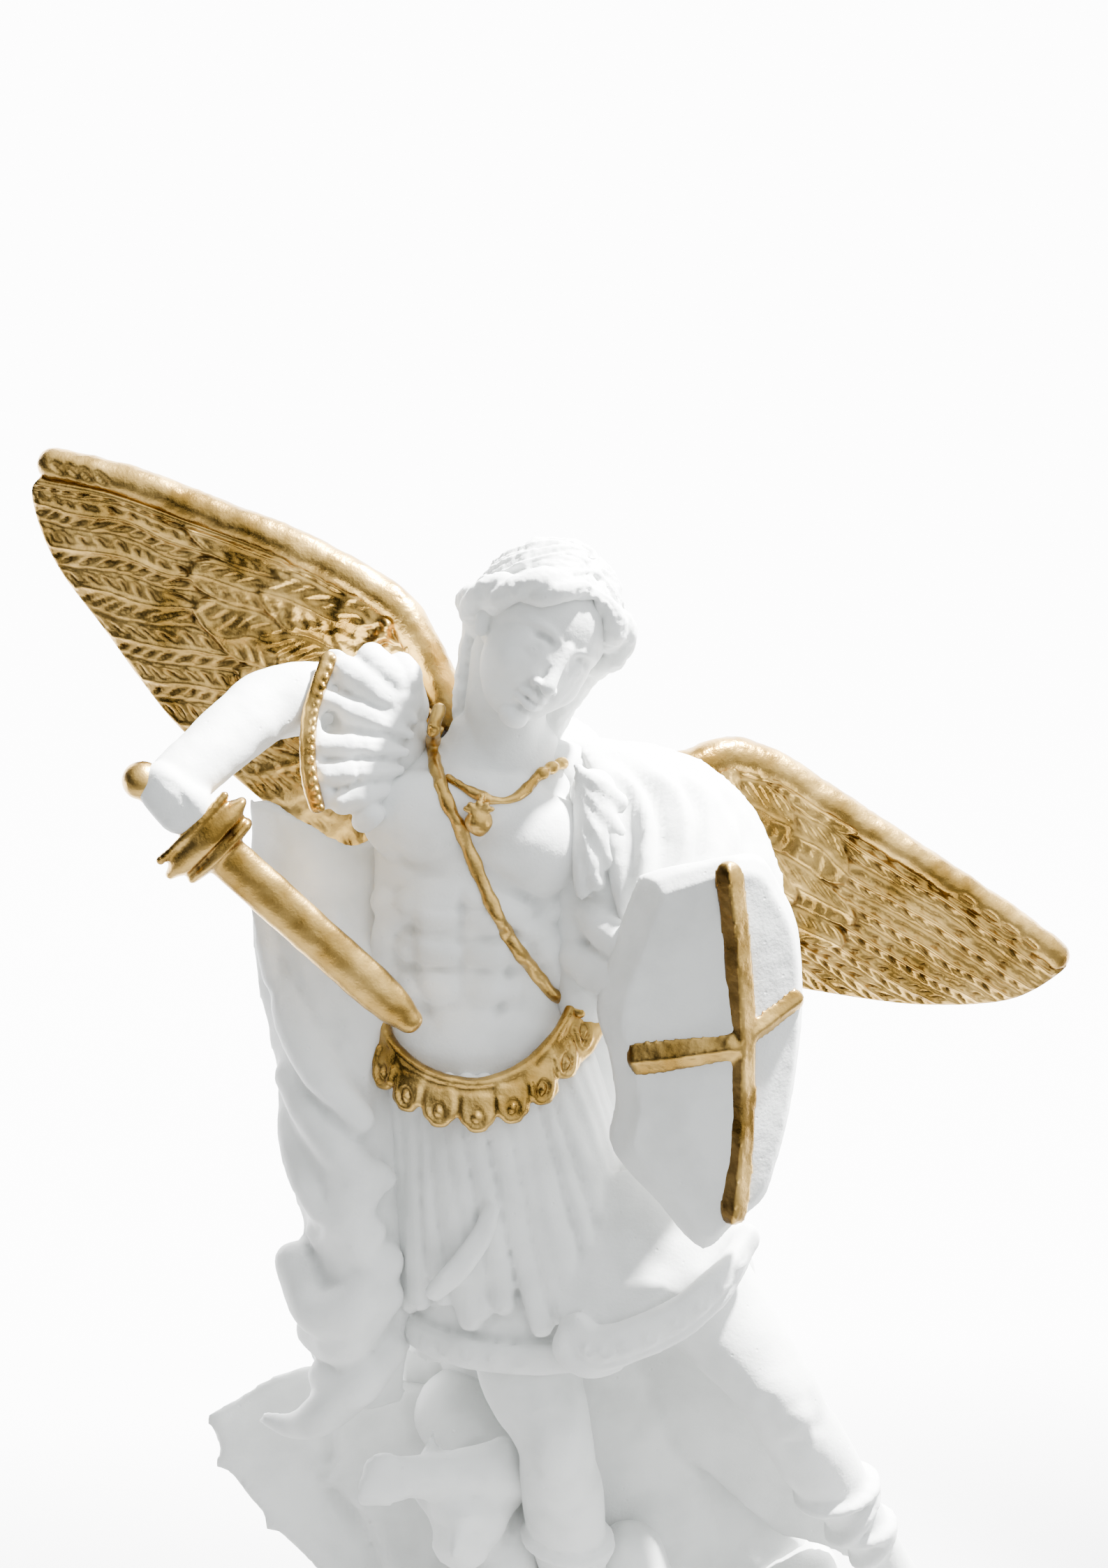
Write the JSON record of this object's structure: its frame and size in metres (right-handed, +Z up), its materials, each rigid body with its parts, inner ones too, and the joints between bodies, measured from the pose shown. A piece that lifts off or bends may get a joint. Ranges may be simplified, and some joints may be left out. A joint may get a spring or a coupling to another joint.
{
  "type": "archangel michael statue",
  "caption": "Cast plaster statuette of a winged warrior saint with a raised sword and a cross shield, standing on a fallen demon over a rocky low plinth, painted white and gold.",
  "frame": {"origin": "centre of the plinth on its flat underside", "axes": "+Z up, the statue faces -Y, and +X is its left-hand side (the shield side)"},
  "size_m": [0.2072, 0.0922, 0.2957],
  "materials": {
    "white_paint": "matt white paint over cast plaster, slightly grainy",
    "gold_paint": "brushed-on metallic gold paint, darker where it thins in the hollows"
  },
  "bodies": {
    "root": {"statue": "white_paint"}
  },
  "joints": []
}
